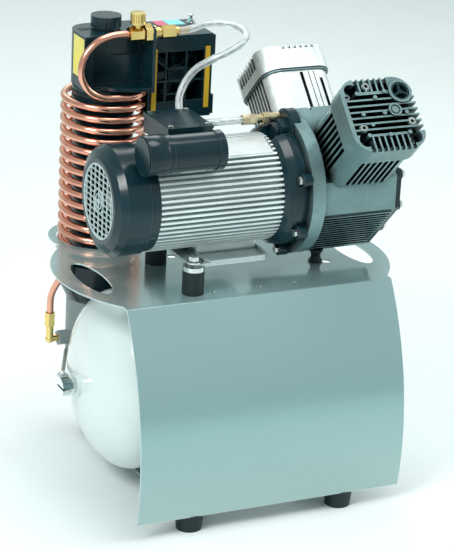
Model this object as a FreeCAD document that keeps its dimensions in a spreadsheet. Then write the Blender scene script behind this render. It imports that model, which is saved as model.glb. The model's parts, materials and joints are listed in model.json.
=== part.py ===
"""Floor-standing oil-free air compressor with a membrane dryer.

Two cylinders in a V are driven by a single-phase motor.  The pump stands on
rubber buffers on a bent cover sheet over a horizontal tank, and a cooling coil
and dryer column stand behind it.

Frame: millimetres, +Z up, +X along the motor shaft towards the crankcase, the
front of the machine faces -Y, and the origin lies on the floor under the
middle of the machine.
"""
import FreeCAD, Part
import math
import os

import Sketcher
from FreeCAD import Placement, Rotation, Vector

doc = FreeCAD.newDocument("air_compressor")
sheet = doc.addObject("Spreadsheet::Sheet", "Sizes")

DRIVING_SIZES = (
    # tank and base
    ("tank_radius", 127), ("tank_wall", 3), ("tank_reach", 212), ("dome_depth", 70),
    ("tank_axis_y", -14.2), ("tank_axis_z", 154), ("bracket_x", 114), ("bracket_width", 40),
    ("bracket_gauge", 3), ("foot_spread", 174), ("foot_height", 24), ("foot_radius", 20),
    ("port_radius", 5.9), ("port_boss_radius", 16), ("port_boss_height", 5),
    # cover sheet
    ("plate_top", 312), ("sheet_gauge", 2), ("cover_half_width", 198.5), ("cover_front_y", -146.7),
    ("cover_rear_y", 116.8), ("ear_radius", 186), ("ear_centre_x", 57), ("apron_belly_y", -208.2),
    ("apron_belly_z", 150), ("apron_foot_y", -206.7), ("apron_foot_z", 24), ("slot_half_width", 19),
    ("slot_half_length", 62), ("slot_x", 198.5), ("slot_y", -20.8), ("dryer_lobe_radius", 74),
    ("dryer_hole_radius", 62),
    # rubber buffers and the motor foot
    ("buffer_radius", 15), ("buffer_height", 33.5), ("buffer_disc_gauge", 6),
    ("buffer_x", 89.5), ("buffer_spread", 63), ("waist_buffer_x", 128), ("foot_plate_gauge", 4),
    # motor
    ("crank_axis_y", -52.2), ("crank_axis_z", 433), ("motor_radius", 74), ("fin_depth", 7),
    ("stator_left", -144), ("stator_right", 36), ("cover_left", -205), ("cover_right", -158),
    ("fan_cover_radius", 76), ("fan_cover_wall", 2), ("grille_radius", 52), ("shaft_radius", 10),
    ("drive_seat_radius", 12.5), ("shield_right", 79), ("capacitor_radius", 25),
    ("capacitor_length", 112), ("terminal_box_bottom", 508.5), ("terminal_box_top", 532),
    ("gland_bore_radius", 4.5),
    # pump
    ("deck_level", 75), ("crankcase_right", 202), ("crankcase_wall", 6), ("case_cover_gauge", 12),
    ("crank_throw", 10), ("crank_pin_radius", 9), ("bore_radius", 35), ("front_cylinder_x", 146),
    ("rear_cylinder_x", 120), ("block_top", 147), ("block_half", 50), ("block_corner", 24), ("head_half", 54),
    ("head_base", 150), ("head_top", 187), ("crown_mid_stroke", 136),
    # dryer column
    ("dryer_x", -121), ("dryer_y", 140.8), ("coil_radius", 56), ("coil_tube_radius", 5),
    ("coil_pitch", 16.3), ("coil_bottom", 291), ("dryer_tube_radius", 43), ("union_z", 621),
    ("dryer_head_bottom", 541), ("dryer_head_top", 617), ("fan_box_left", -72),
    ("fan_box_right", 29), ("fan_box_front", 108.2), ("fan_box_depth", 84), ("fan_box_bottom", 488),
    ("fan_box_top", 608), ("window_left", -55), ("window_right", 17), ("window_bottom", 513),
    ("window_top", 585), ("filter_cap_height", 19), ("valve_cap_radius", 10.5), ("hose_radius", 5.25),
)


class Size:
    """A length that knows both its number and the sheet expression behind it."""

    def __init__(self, number, text):
        self.number = float(number)
        self.text = text

    def join(self, other, sign, order=1):
        other = as_size(other)
        first, second = (self, other) if order > 0 else (other, self)
        number = {
            "+": lambda a, b: a + b,
            "-": lambda a, b: a - b,
            "*": lambda a, b: a * b,
            "/": lambda a, b: a / b,
        }[sign](first.number, second.number)
        return Size(number, "(%s %s %s)" % (first.text, sign, second.text))

    def __add__(self, other):
        return self.join(other, "+")

    def __radd__(self, other):
        return self.join(other, "+", -1)

    def __sub__(self, other):
        return self.join(other, "-")

    def __rsub__(self, other):
        return self.join(other, "-", -1)

    def __mul__(self, other):
        return self.join(other, "*")

    def __rmul__(self, other):
        return self.join(other, "*", -1)

    def __truediv__(self, other):
        return self.join(other, "/")

    def __neg__(self):
        return 0 - self

    def __float__(self):
        return self.number


def as_size(value):
    if isinstance(value, Size):
        return value
    return Size(value, "(%s)" % repr(float(value)))


for row, (alias, value) in enumerate(DRIVING_SIZES, 1):
    sheet.set("A%d" % row, alias)
    sheet.set("B%d" % row, str(value))
    sheet.setAlias("B%d" % row, alias)
doc.recompute()


def size(alias):
    """The named cell of the sheet, as a length bound to it."""
    return Size(getattr(sheet, alias), "Sizes." + alias)


AXIS_TURN = {
    "+Z": Rotation(),
    "+X": Rotation(Vector(0, 1, 0), 90),
    "-X": Rotation(Vector(0, 1, 0), -90),
    "+Y": Rotation(Vector(1, 0, 0), -90),
    "-Y": Rotation(Vector(1, 0, 0), 90),
}
NODES = []


def bind(item, **sizes):
    for name, value in sizes.items():
        item.setExpression(name, as_size(value).text)
    return item


def place(item, at, turn=Rotation()):
    """Put an item at a point whose three coordinates are bound to the sheet."""
    item.Placement = Placement(Vector(*[float(value) for value in at]), turn)
    for letter, value in zip("xyz", at):
        item.setExpression("Placement.Base." + letter, as_size(value).text)
    return item


def cylinder(radius, length, at, axis="+Z"):
    item = doc.addObject("Part::Cylinder", "Cylinder")
    bind(item, Radius=radius, Height=length)
    return place(item, at, AXIS_TURN[axis])


def cone(radius_start, radius_end, length, at, axis="+Z"):
    item = doc.addObject("Part::Cone", "Cone")
    bind(item, Radius1=radius_start, Radius2=radius_end, Height=length)
    return place(item, at, AXIS_TURN[axis])


def block(low, high):
    """A box between two corners."""
    item = doc.addObject("Part::Box", "Box")
    bind(item, Length=high[0] - as_size(low[0]), Width=high[1] - as_size(low[1]),
         Height=high[2] - as_size(low[2]))
    return place(item, low)


def prism(sides, across_flats, length, at, axis="+Z"):
    item = doc.addObject("Part::Prism", "Prism")
    item.Polygon = sides
    bind(item, Circumradius=across_flats / 2 / math.cos(math.pi / sides), Height=length)
    return place(item, at, AXIS_TURN[axis])


def fused(items):
    item = doc.addObject("Part::MultiFuse", "Fusion")
    item.Shapes = list(items)
    return item


def cut(base, tools):
    item = doc.addObject("Part::Cut", "Cut")
    item.Base = base
    item.Tool = tools[0] if len(tools) == 1 else fused(tools)
    return item


def common(first, second):
    item = doc.addObject("Part::MultiCommon", "Common")
    item.Shapes = [first, second]
    return item


def group(items):
    """Separate solids that share one node."""
    item = doc.addObject("Part::Compound", "Group")
    item.Links = list(items)
    return item


def feature(shape, placement=Placement()):
    item = doc.addObject("Part::Feature", "Shaped")
    moved = placement.multiply(shape.Placement)
    item.Shape = shape
    item.Placement = moved
    return item


def node(label, item):
    """Name a finished sub-part; the label is also its file name."""
    item.Label = label
    NODES.append(item)
    return item


def origin_plane(body, role):
    return [plane for plane in body.Origin.OriginFeatures if plane.Role == role][0]


def sketch_on(body, role, name, offset=0):
    sketch = body.newObject("Sketcher::SketchObject", name)
    sketch.AttachmentSupport = (origin_plane(body, role), "")
    sketch.MapMode = "FlatFace"
    sketch.AttachmentOffset = Placement(Vector(0, 0, float(offset)), Rotation())
    sketch.setExpression("AttachmentOffset.Base.z", as_size(offset).text)
    return sketch


def fix_point(sketch, edge, end, across, up):
    """Tie a sketch point to the origin with two distances bound to the sheet."""
    for kind, value in (("DistanceX", across), ("DistanceY", up)):
        value = as_size(value)
        index = sketch.addConstraint(Sketcher.Constraint(kind, -1, 1, edge, end, value.number))
        sketch.setExpression("Constraints[%d]" % index, value.text)


def draw_outline(sketch, points):
    """A closed outline of straight lines through bound points."""
    spots = [Vector(float(across), float(up), 0) for across, up in points]
    first = sketch.GeometryCount
    for start, end in zip(spots, spots[1:] + spots[:1]):
        sketch.addGeometry(Part.LineSegment(start, end), False)
    count = len(points)
    for step in range(count):
        following = first + (step + 1) % count
        sketch.addConstraint(Sketcher.Constraint("Coincident", first + step, 2, following, 1))
        fix_point(sketch, first + step, 1, *points[step])


def draw_circle(sketch, centre, radius):
    radius = as_size(radius)
    spot = Vector(float(centre[0]), float(centre[1]), 0)
    edge = sketch.addGeometry(Part.Circle(spot, Vector(0, 0, 1), radius.number), False)
    index = sketch.addConstraint(Sketcher.Constraint("Radius", edge, radius.number))
    sketch.setExpression("Constraints[%d]" % index, radius.text)
    fix_point(sketch, edge, 3, *centre)


def new_body(label, at=(0, 0, 0)):
    body = doc.addObject("PartDesign::Body", label + "_body")
    place(body, at)
    return node(label, body)


def revolved_body(label, outline, at):
    """Turn an outline of (distance along X, radius) points about the X axis through a point."""
    body = new_body(label, at)
    sketch = sketch_on(body, "XZ_Plane", label + "_outline")
    draw_outline(sketch, outline)
    turned = body.newObject("PartDesign::Revolution", label + "_turned")
    turned.Profile = sketch
    turned.ReferenceAxis = (sketch, ["H_Axis"])
    turned.Angle = 360
    return body


CRANK_Y = size("crank_axis_y")
CRANK_Z = size("crank_axis_z")
TANK_Y = size("tank_axis_y")
TANK_Z = size("tank_axis_z")
PLATE_TOP = size("plate_top")
DRYER_X = size("dryer_x")
DRYER_Y = size("dryer_y")
CRANK_FRAME = Placement(Vector(0, float(CRANK_Y), float(CRANK_Z)), Rotation())


def about_crank(x, y=0, z=0):
    """A point given by its distances from the crank axis."""
    return (x, CRANK_Y + y, CRANK_Z + z)


def polygon_face(points):
    """A flat face in the YZ plane through (y, z) points."""
    corners = [Vector(0, y, z) for y, z in points]
    return Part.Face(Part.makePolygon(corners + corners[:1]))


def rounded_square(half, corner):
    """A square face with rounded corners, centred on the origin of the XY plane."""
    inner = half - corner
    edges = []
    for quarter in range(4):
        turn = Rotation(Vector(0, 0, 1), 90 * quarter)
        start = turn.multVec(Vector(half, -inner, 0))
        end = turn.multVec(Vector(half, inner, 0))
        bulge = inner + corner * math.cos(math.pi / 4)
        middle = turn.multVec(Vector(bulge, bulge, 0))
        after = turn.multVec(Vector(inner, half, 0))
        edges.append(Part.LineSegment(start, end).toShape())
        edges.append(Part.Arc(end, middle, after).toShape())
    return Part.Face(Part.Wire(edges))


def slab(half, corner, bottom, top):
    """A rounded square plate between two heights."""
    shape = rounded_square(half, corner).extrude(Vector(0, 0, top - bottom))
    shape.translate(Vector(0, 0, bottom))
    return shape


def bar(low, high):
    """A plain box between two corners, as a bare shape."""
    return Part.makeBox(high[0] - low[0], high[1] - low[1], high[2] - low[2], Vector(*low))


def rod(radius, start, end):
    """A plain cylinder from one point to another, as a bare shape."""
    start, end = Vector(*start), Vector(*end)
    return Part.makeCylinder(radius, (end - start).Length, start, end - start)


def hexagon(across_flats, start, end):
    """A hexagonal bar from one point to another, as a bare shape."""
    start, end = Vector(*start), Vector(*end)
    reach = across_flats / 2 / math.cos(math.pi / 6)
    corners = []
    for step in range(7):
        angle = math.radians(60 * step)
        corners.append(Vector(reach * math.cos(angle), reach * math.sin(angle), 0))
    bar_shape = Part.Face(Part.makePolygon(corners)).extrude(Vector(0, 0, (end - start).Length))
    bar_shape.Placement = Placement(start, Rotation(Vector(0, 0, 1), end - start))
    return bar_shape


def joined(shapes):
    """One solid from several that touch or overlap."""
    shapes = list(shapes)
    return shapes[0].multiFuse(shapes[1:]).removeSplitter()


def rounded_route(points):
    """A path of straight runs joined by tangent arcs, each as large as its runs allow."""
    spots = [Vector(*point) for point in points]
    edges, radii, at = [], [], spots[0]
    for before, corner, after in zip(spots, spots[1:], spots[2:]):
        run_in, run_out = corner - before, after - corner
        turn = run_in.getAngle(run_out)
        reach = 0.45 * min(run_in.Length, run_out.Length)
        radii.append(reach / math.tan(turn / 2))
        unit_in, unit_out = Vector(run_in).normalize(), Vector(run_out).normalize()
        start, end = corner - unit_in * reach, corner + unit_out * reach
        inward = (unit_out - unit_in).normalize()
        depth = radii[-1] * (1 / math.cos(turn / 2) - 1)
        edges.append(Part.LineSegment(at, start).toShape())
        edges.append(Part.Arc(start, corner + inward * depth, end).toShape())
        at = end
    edges.append(Part.LineSegment(at, spots[-1]).toShape())
    return Part.Wire(edges), radii


def tube_along(path, radius):
    """A round solid swept along a path."""
    start = path.Edges[0].valueAt(path.Edges[0].FirstParameter)
    heading = path.Edges[0].tangentAt(path.Edges[0].FirstParameter)
    ring = Part.Wire(Part.makeCircle(radius, start, heading))
    swept = path.makePipeShell([ring], True, True)
    expected = math.pi * radius ** 2 * path.Length
    if abs(swept.Volume / expected - 1) > 0.02:
        raise ValueError("a swept tube does not fill its section times its length")
    return swept


# ---------------------------------------------------------------- tank and base

def domed_solid(reach, depth, radius):
    """A cylinder about X with an elliptical dome at each end."""
    shoulder = reach - depth
    edges = []
    for side in (-1, 1):
        rim, crown = Vector(side * shoulder, 0, radius), Vector(side * reach, 0, 0)
        ellipse = Part.Ellipse(rim, crown, Vector(side * shoulder, 0, 0))
        edges.append(Part.ArcOfEllipse(ellipse, 0, math.pi / 2).toShape())
    edges.append(Part.LineSegment(Vector(-shoulder, 0, radius), Vector(shoulder, 0, radius)).toShape())
    edges.append(Part.LineSegment(Vector(-reach, 0, 0), Vector(reach, 0, 0)).toShape())
    face = Part.Face(Part.Wire(Part.__sortEdges__(edges)))
    return face.revolve(Vector(), Vector(1, 0, 0), 360)


def make_tank_shell():
    radius, wall = float(size("tank_radius")), float(size("tank_wall"))
    reach, depth = float(size("tank_reach")), float(size("dome_depth"))
    boss, lip = float(size("port_boss_radius")), float(size("port_boss_height"))
    port = float(size("port_radius"))
    outer = domed_solid(reach, depth, radius)
    bosses = rod(boss, (-reach - lip, 0, 0), (reach + lip, 0, 0))
    hollow = domed_solid(reach - wall, depth - wall, radius - wall)
    ports = rod(port, (-reach - 2 * lip, 0, 0), (reach + 2 * lip, 0, 0))
    shell = outer.fuse(bosses).cut(hollow).cut(ports)
    node("tank_shell", feature(shell, Placement(Vector(0, float(TANK_Y), float(TANK_Z)), Rotation())))


def make_tank_brackets():
    """Two foot strips under the tank and two carriers on it, each with a web cut to the shell."""
    gauge, radius = size("bracket_gauge"), size("tank_radius")
    foot_level, half = size("foot_height"), size("bracket_width") / 2
    foot_reach, carrier_reach, web_half = 188, 85, 2
    pieces = []
    for side in (-1, 1):
        x = side * size("bracket_x")
        strip = block((x - half, TANK_Y - foot_reach, foot_level),
                      (x + half, TANK_Y + foot_reach, foot_level + gauge))
        web = block((x - web_half, TANK_Y - 95, foot_level + gauge), (x + web_half, TANK_Y + 95, 80))
        shell = cylinder(radius, 60, (x - 30, TANK_Y, TANK_Z), "+X")
        pieces.append(fused([strip, cut(web, [shell])]))
        deck = block((x - half, TANK_Y - carrier_reach, PLATE_TOP - size("sheet_gauge") - gauge),
                     (x + half, TANK_Y + carrier_reach, PLATE_TOP - size("sheet_gauge")))
        post = block((x - web_half, TANK_Y - carrier_reach, 249),
                     (x + web_half, TANK_Y + carrier_reach, PLATE_TOP - size("sheet_gauge") - gauge))
        shell = cylinder(radius, 60, (x - 30, TANK_Y, TANK_Z), "+X")
        pieces.append(fused([deck, cut(post, [shell])]))
    node("tank_brackets", group(pieces))


def make_rubber_feet():
    feet = []
    for side in (-1, 1):
        for end in (-1, 1):
            at = (side * size("bracket_x"), TANK_Y + end * size("foot_spread"), 0)
            feet.append(cone(size("foot_radius") - 2.5, size("foot_radius"), size("foot_height"), at))
    node("rubber_feet", group(feet))


def elliptic_prism(x, y, half_width, half_length, bottom, top):
    """An upright prism over an ellipse that is longer along Y."""
    ellipse = Part.Ellipse(Vector(x, y + half_length, bottom), Vector(x + half_width, y, bottom),
                           Vector(x, y, bottom))
    return Part.Face(Part.Wire(ellipse.toShape())).extrude(Vector(0, 0, top - bottom))


def make_cover_sheet():
    """One bent sheet: a plate with two handle ears and a lobe round the dryer, and the apron."""
    top, gauge = float(PLATE_TOP), float(size("sheet_gauge"))
    half, front, rear = (float(size(word)) for word in ("cover_half_width", "cover_front_y", "cover_rear_y"))
    under = top - gauge
    shapes = [bar((-half, front, under), (half, rear, top))]
    ear, ear_x = float(size("ear_radius")), float(size("ear_centre_x"))
    for side in (-1, 1):
        disc = rod(ear, (side * ear_x, float(TANK_Y), under), (side * ear_x, float(TANK_Y), top))
        near, far = sorted((side * (half - 10), side * (half + 60)))
        shapes.append(disc.common(bar((near, -400, under), (far, 400, top))))
    dryer = (float(DRYER_X), float(DRYER_Y))
    shapes.append(rod(float(size("dryer_lobe_radius")), dryer + (under,), dryer + (top,)))
    belly = Vector(-half, float(size("apron_belly_y")), float(size("apron_belly_z")))
    foot = Vector(-half, float(size("apron_foot_y")), float(size("apron_foot_z")))
    bend = Vector(-half, front, top)
    inward = Vector(0, gauge, 0)
    outline = Part.Wire([
        Part.Arc(bend, belly, foot).toShape(),
        Part.LineSegment(foot, foot + inward).toShape(),
        Part.Arc(foot + inward, belly + inward, bend + inward).toShape(),
        Part.LineSegment(bend + inward, bend).toShape(),
    ])
    shapes.append(Part.Face(outline).extrude(Vector(2 * half, 0, 0)))
    sheet_metal = joined(shapes)
    bend_edges = [edge for edge in sheet_metal.Edges
                  if edge.Length > 300 and abs(edge.CenterOfMass.y - front) < 0.1
                  and abs(edge.CenterOfMass.z - top) < 0.1]
    sheet_metal = sheet_metal.makeFillet(3, bend_edges)
    holes = [rod(float(size("dryer_hole_radius")), dryer + (under - 1,), dryer + (top + 1,))]
    for side in (-1, 1):
        holes.append(elliptic_prism(side * float(size("slot_x")), float(size("slot_y")),
                                    float(size("slot_half_width")), float(size("slot_half_length")),
                                    under - 1, top + 1))
    for x, across, radius in ((-62, -69, 4), (7, -69, 4), (61, -69, 4), (-58, 80, 6.5), (143, -4, 6.5)):
        y = float(CRANK_Y) + across
        holes.append(rod(radius, (x, y, under - 1), (x, y, top + 1)))
    node("cover_sheet", feature(sheet_metal.cut(Part.makeCompound(holes))))


def make_rubber_buffers():
    radius, height = size("buffer_radius"), size("buffer_height")
    waist_x, flange = size("waist_buffer_x"), 2.9
    buffers = []
    for side in (-1, 1):
        at = (-size("buffer_x"), CRANK_Y + side * size("buffer_spread"), PLATE_TOP)
        buffers.append(cylinder(radius, height, at))
    profile = ((10, 10, 0, flange), (8.5, 6.5, flange, 6.6), (6.5, 8.5, 9.5, 6.5), (10, 10, 16, flange))
    waist = []
    for low_radius, high_radius, rise, length in profile:
        at = (waist_x, CRANK_Y, PLATE_TOP + rise)
        if low_radius == high_radius:
            waist.append(cylinder(low_radius, length, at))
        else:
            waist.append(cone(low_radius, high_radius, length, at))
    buffers.append(fused(waist))
    node("rubber_buffers", group(buffers))


def make_buffer_bolts():
    """On each front buffer: the bonded steel disc, then a washer, hex head and stud."""
    pieces = []
    disc_gauge, foot_gauge = size("buffer_disc_gauge"), size("foot_plate_gauge")
    for side in (-1, 1):
        x, y = -size("buffer_x"), CRANK_Y + side * size("buffer_spread")
        buffer_top = PLATE_TOP + size("buffer_height")
        pieces.append(cylinder(size("buffer_radius"), disc_gauge, (x, y, buffer_top)))
        foot_top = buffer_top + disc_gauge + foot_gauge
        stud = cylinder(4, foot_gauge, (x, y, foot_top - foot_gauge))
        washer = cylinder(10, 2, (x, y, foot_top))
        head = prism(6, 13, 7, (x, y, foot_top + 2))
        pieces.append(fused([stud, washer, head]))
    node("buffer_bolts", group(pieces))


FOOT_LEFT, TRAY_LEFT, FOOT_RIGHT, FOOT_RIM = -98, -76, 20, 3.5


def foot_outline(left, inset=0):
    """A rectangle whose corners are cut off, drawn inwards by an inset."""
    left, right, reach, corner = left + inset, FOOT_RIGHT - inset, 72 - inset, 8
    points = []
    for x, y, way in ((left, -reach, 1), (right, -reach, -1), (right, reach, -1), (left, reach, 1)):
        along, across = (x + way * corner, y), (x, y - math.copysign(corner, y))
        points += [across, along] if way * y < 0 else [along, across]
    return points


def make_motor_foot():
    """A cast plate: flat tabs for the buffer bolts, a rimmed tray, and a pad under the stator."""
    gauge, rim_height = size("foot_plate_gauge"), 3
    bottom = PLATE_TOP + size("buffer_height") + size("buffer_disc_gauge")
    body = new_body("motor_foot", (0, CRANK_Y, bottom))
    plan = sketch_on(body, "XY_Plane", "foot_plan")
    draw_outline(plan, foot_outline(FOOT_LEFT))
    for side in (-1, 1):
        draw_circle(plan, (-size("buffer_x"), side * size("buffer_spread")), 4.2)
    plate = body.newObject("PartDesign::Pad", "foot_plate")
    plate.Profile = plan
    plate.setExpression("Length", gauge.text)
    rim = sketch_on(body, "XY_Plane", "foot_rim", gauge)
    draw_outline(rim, foot_outline(TRAY_LEFT))
    draw_outline(rim, foot_outline(TRAY_LEFT, FOOT_RIM))
    raised = body.newObject("PartDesign::Pad", "raised_rim")
    raised.Profile = rim
    raised.Length = rim_height
    pad_plan = sketch_on(body, "XY_Plane", "stator_pad", gauge)
    draw_outline(pad_plan, ((-80, -34), (18, -34), (18, 34), (-80, 34)))
    pad = body.newObject("PartDesign::Pad", "stator_pad_raised")
    pad.Profile = pad_plan
    pad.setExpression("Length", (CRANK_Z - 76 - bottom - gauge).text)
    return body


# ------------------------------------------------------------------------ motor

def finned_face(radius, depth, count):
    """The cross-section of the stator extrusion: tapered fins all round, in the YZ plane."""
    points = []
    step = 2 * math.pi / count
    for fin in range(count):
        middle = fin * step
        for share, reach in ((-0.30, radius - depth), (-0.20, radius), (0.20, radius), (0.30, radius - depth)):
            angle = middle + share * step
            points.append((reach * math.cos(angle), reach * math.sin(angle)))
    return polygon_face(points)


RATING_TILT = 20
RATING_LEVEL = 71
CAPACITOR_SPOT = (-70, 81)


def make_stator_housing():
    radius, depth = float(size("motor_radius")), float(size("fin_depth"))
    left, right = float(size("stator_left")), float(size("stator_right"))
    length = right - left
    bore = radius - depth - 5
    fins = finned_face(radius, depth, 60).extrude(Vector(length, 0, 0))
    fins.translate(Vector(left, 0, 0))
    base_rail = bar((TRAY_LEFT + FOOT_RIM, -32, -76), (FOOT_RIGHT - FOOT_RIM, 32, -60))
    box_pad = bar((-123, -27, 55), (-57, 32, 75.5))
    tilt = Placement(Vector(), Rotation(Vector(1, 0, 0), RATING_TILT))
    facet = bar((-56, -21, 55), (32, 21, RATING_LEVEL))
    facet.Placement = tilt
    above_facet = bar((-56, -30, RATING_LEVEL), (32, 30, 90))
    above_facet.Placement = tilt
    saddle = bar((-112, -11, radius - depth - 2), (-76, 11, radius + 30))
    saddle.rotate(Vector(), Vector(1, 0, 0), math.degrees(math.atan2(-CAPACITOR_SPOT[0], CAPACITOR_SPOT[1])))
    saddle = saddle.cut(rod(float(size("capacitor_radius")), (-120, *CAPACITOR_SPOT), (-60, *CAPACITOR_SPOT)))
    shape = fins.cut(above_facet).multiFuse([base_rail, box_pad, facet, saddle])
    shape = shape.cut(rod(bore, (left - 1, 0, 0), (right + 1, 0, 0)))
    node("stator_housing", feature(shape, CRANK_FRAME))


def make_rating_plate():
    """A plain plate on the flat facet of the stator housing."""
    plate = bar((-54, -19, RATING_LEVEL), (30, 19, RATING_LEVEL + 1))
    plate.rotate(Vector(), Vector(1, 0, 0), RATING_TILT)
    node("rating_plate", feature(plate, CRANK_FRAME))


def ring(outer, inner, left, length):
    """A ring about the crank axis."""
    return cut(cylinder(outer, length, about_crank(left), "+X"),
               [cylinder(inner, length + 2, about_crank(left - 1), "+X")])


def make_stator_core():
    """The lamination stack with the two ends of its winding."""
    bore = size("motor_radius") - size("fin_depth") - 5
    stack = ring(bore, 36, -105, 110)
    node("stator_core", group([stack, ring(58, 40, -125, 20), ring(58, 40, 5, 20)]))


LUG_ANGLES = (-150, -105, -60, -20, 160)
LUG_REACH = 90
MANIFOLD_SPOT = (-2, 80)
MANIFOLD_RADIUS = 27.5
HEX_SPOT = (-7, 80)
HEX_LEFT = 48
OUTLET_SPOT = (12, 92)


def lug_spot(angle):
    turn = math.radians(angle)
    return LUG_REACH * math.cos(turn), LUG_REACH * math.sin(turn)


def rear_block_room():
    """The space of the rear cylinder and head with a small gap, about the crank axis."""
    half, deck = float(size("head_half")) + 1, float(size("deck_level"))
    room = bar((-half, -half, deck - 0.5), (half, half, 200))
    room.Placement = Placement(Vector(float(size("rear_cylinder_x")), 0, 0), Rotation(Vector(1, 0, 0), -45))
    return room


def make_end_shields():
    left, cover_right = size("stator_left"), size("cover_right")
    right, shield_right = size("stator_right"), size("shield_right")
    revolved_body("end_shield_fan", (
        (cover_right, 12), (cover_right, 73), (left, 73), (left, 23.5),
        (cover_right + 3, 23.5), (cover_right + 3, 12)), about_crank(0))
    start, end = float(right), float(shield_right)
    outline = ((start, 26), (start, 75), (start + 5, 81), (start + 17, 84), (end, 84), (end, 60),
               (end - 8, 60), (end - 8, 16), (end - 11, 16), (end - 11, 26))
    corners = [Vector(x, 0, reach) for x, reach in outline]
    shield = Part.Face(Part.makePolygon(corners + corners[:1])).revolve(Vector(), Vector(1, 0, 0), 360)
    lugs = []
    for angle in LUG_ANGLES:
        y, z = lug_spot(angle)
        lug = rod(9, (end - 24, y, z), (end - 11, y, z))
        lugs.append(lug.cut(rod(3.1, (end - 25, y, z), (end - 10, y, z))))
    shield = joined([shield] + lugs)
    disc_room = rod(MANIFOLD_RADIUS + 0.5, (end - 16, *MANIFOLD_SPOT), (end + 1, *MANIFOLD_SPOT))
    manifold = Part.makeCompound([disc_room, rod(19, (start - 1, *HEX_SPOT), (end, *HEX_SPOT))])
    node("end_shield_drive", feature(shield.cut(manifold).cut(rear_block_room()), CRANK_FRAME))


def make_case_bolts():
    """Bolts through the shield lugs, and the bolts round the crankcase cover."""
    end, cover = float(size("shield_right")), float(size("crankcase_right"))
    gauge = float(size("case_cover_gauge"))
    bolts = []
    for angle in LUG_ANGLES:
        y, z = lug_spot(angle)
        head = hexagon(10, (end - 29, y, z), (end - 24, y, z))
        bolts.append(head.fuse(rod(3, (end - 24, y, z), (end + 8, y, z))))
    for y, z in COVER_BOLTS:
        head = hexagon(10, (cover + gauge, y, z), (cover + gauge + 5, y, z))
        bolts.append(head.fuse(rod(3, (cover - 8, y, z), (cover + gauge, y, z))))
    node("case_bolts", feature(Part.makeCompound(bolts), CRANK_FRAME))


def make_main_bearings():
    left, seat = size("stator_left"), size("drive_seat_radius")
    fan_side = cut(cylinder(23.5, 11, about_crank(left - 11), "+X"),
                   [cylinder(size("shaft_radius") + 0.05, 13, about_crank(left - 12), "+X")])
    drive_side = cut(cylinder(26, 14, about_crank(54), "+X"),
                     [cylinder(seat + 0.05, 16, about_crank(53), "+X")])
    node("main_bearings", group([fan_side, drive_side]))


def make_fan_cover():
    left, right = size("cover_left"), size("cover_right")
    radius, wall, opening = size("fan_cover_radius"), size("fan_cover_wall"), size("grille_radius")
    edge = 14
    revolved_body("fan_cover", (
        (left, opening), (left, radius - edge - 4), (left + 5, radius - 6), (left + edge, radius),
        (right, radius), (right, radius - wall), (left + edge, radius - wall),
        (left + 5 + wall, radius - 6 - wall), (left + wall, radius - edge - 5),
        (left + wall, opening)), about_crank(0))


def make_fan_grille():
    left, radius = float(size("cover_left")), float(size("grille_radius"))
    rings = [rod(radius, (left, 0, 0), (left + 2, 0, 0)).cut(rod(radius - 3, (left, 0, 0), (left + 2, 0, 0)))]
    for reach in (9, 18, 27, 36, 45):
        ring_shape = rod(reach, (left, 0, 0), (left + 1.6, 0, 0))
        rings.append(ring_shape.cut(rod(reach - 1.6, (left, 0, 0), (left + 1.6, 0, 0))))
    for step in range(4):
        spoke = bar((left, -radius + 1, -0.8), (left + 1.6, radius - 1, 0.8))
        spoke.rotate(Vector(), Vector(1, 0, 0), 45 * step)
        rings.append(spoke)
    node("fan_grille", feature(joined(rings), CRANK_FRAME))


def make_capacitor():
    radius, length = float(size("capacitor_radius")), float(size("capacitor_length"))
    left = -174
    can = rod(radius, (left, 0, 0), (left + length, 0, 0))
    end_cap = rod(radius + 1.5, (left + length - 10, 0, 0), (left + length, 0, 0))
    band = rod(radius + 1, (left + 28, 0, 0), (left + 38, 0, 0))
    shape = joined([can, end_cap, band])
    shape.translate(Vector(0, *CAPACITOR_SPOT))
    node("capacitor", feature(shape, CRANK_FRAME))


BOX_LEFT, BOX_RIGHT, BOX_FRONT, BOX_REAR = -121, -56, -32, 50
LID_GAUGE = 4
LID_SCREWS = tuple((x, y) for x in (BOX_LEFT + 6, BOX_RIGHT - 6) for y in (BOX_FRONT + 6, BOX_REAR - 6))


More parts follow.
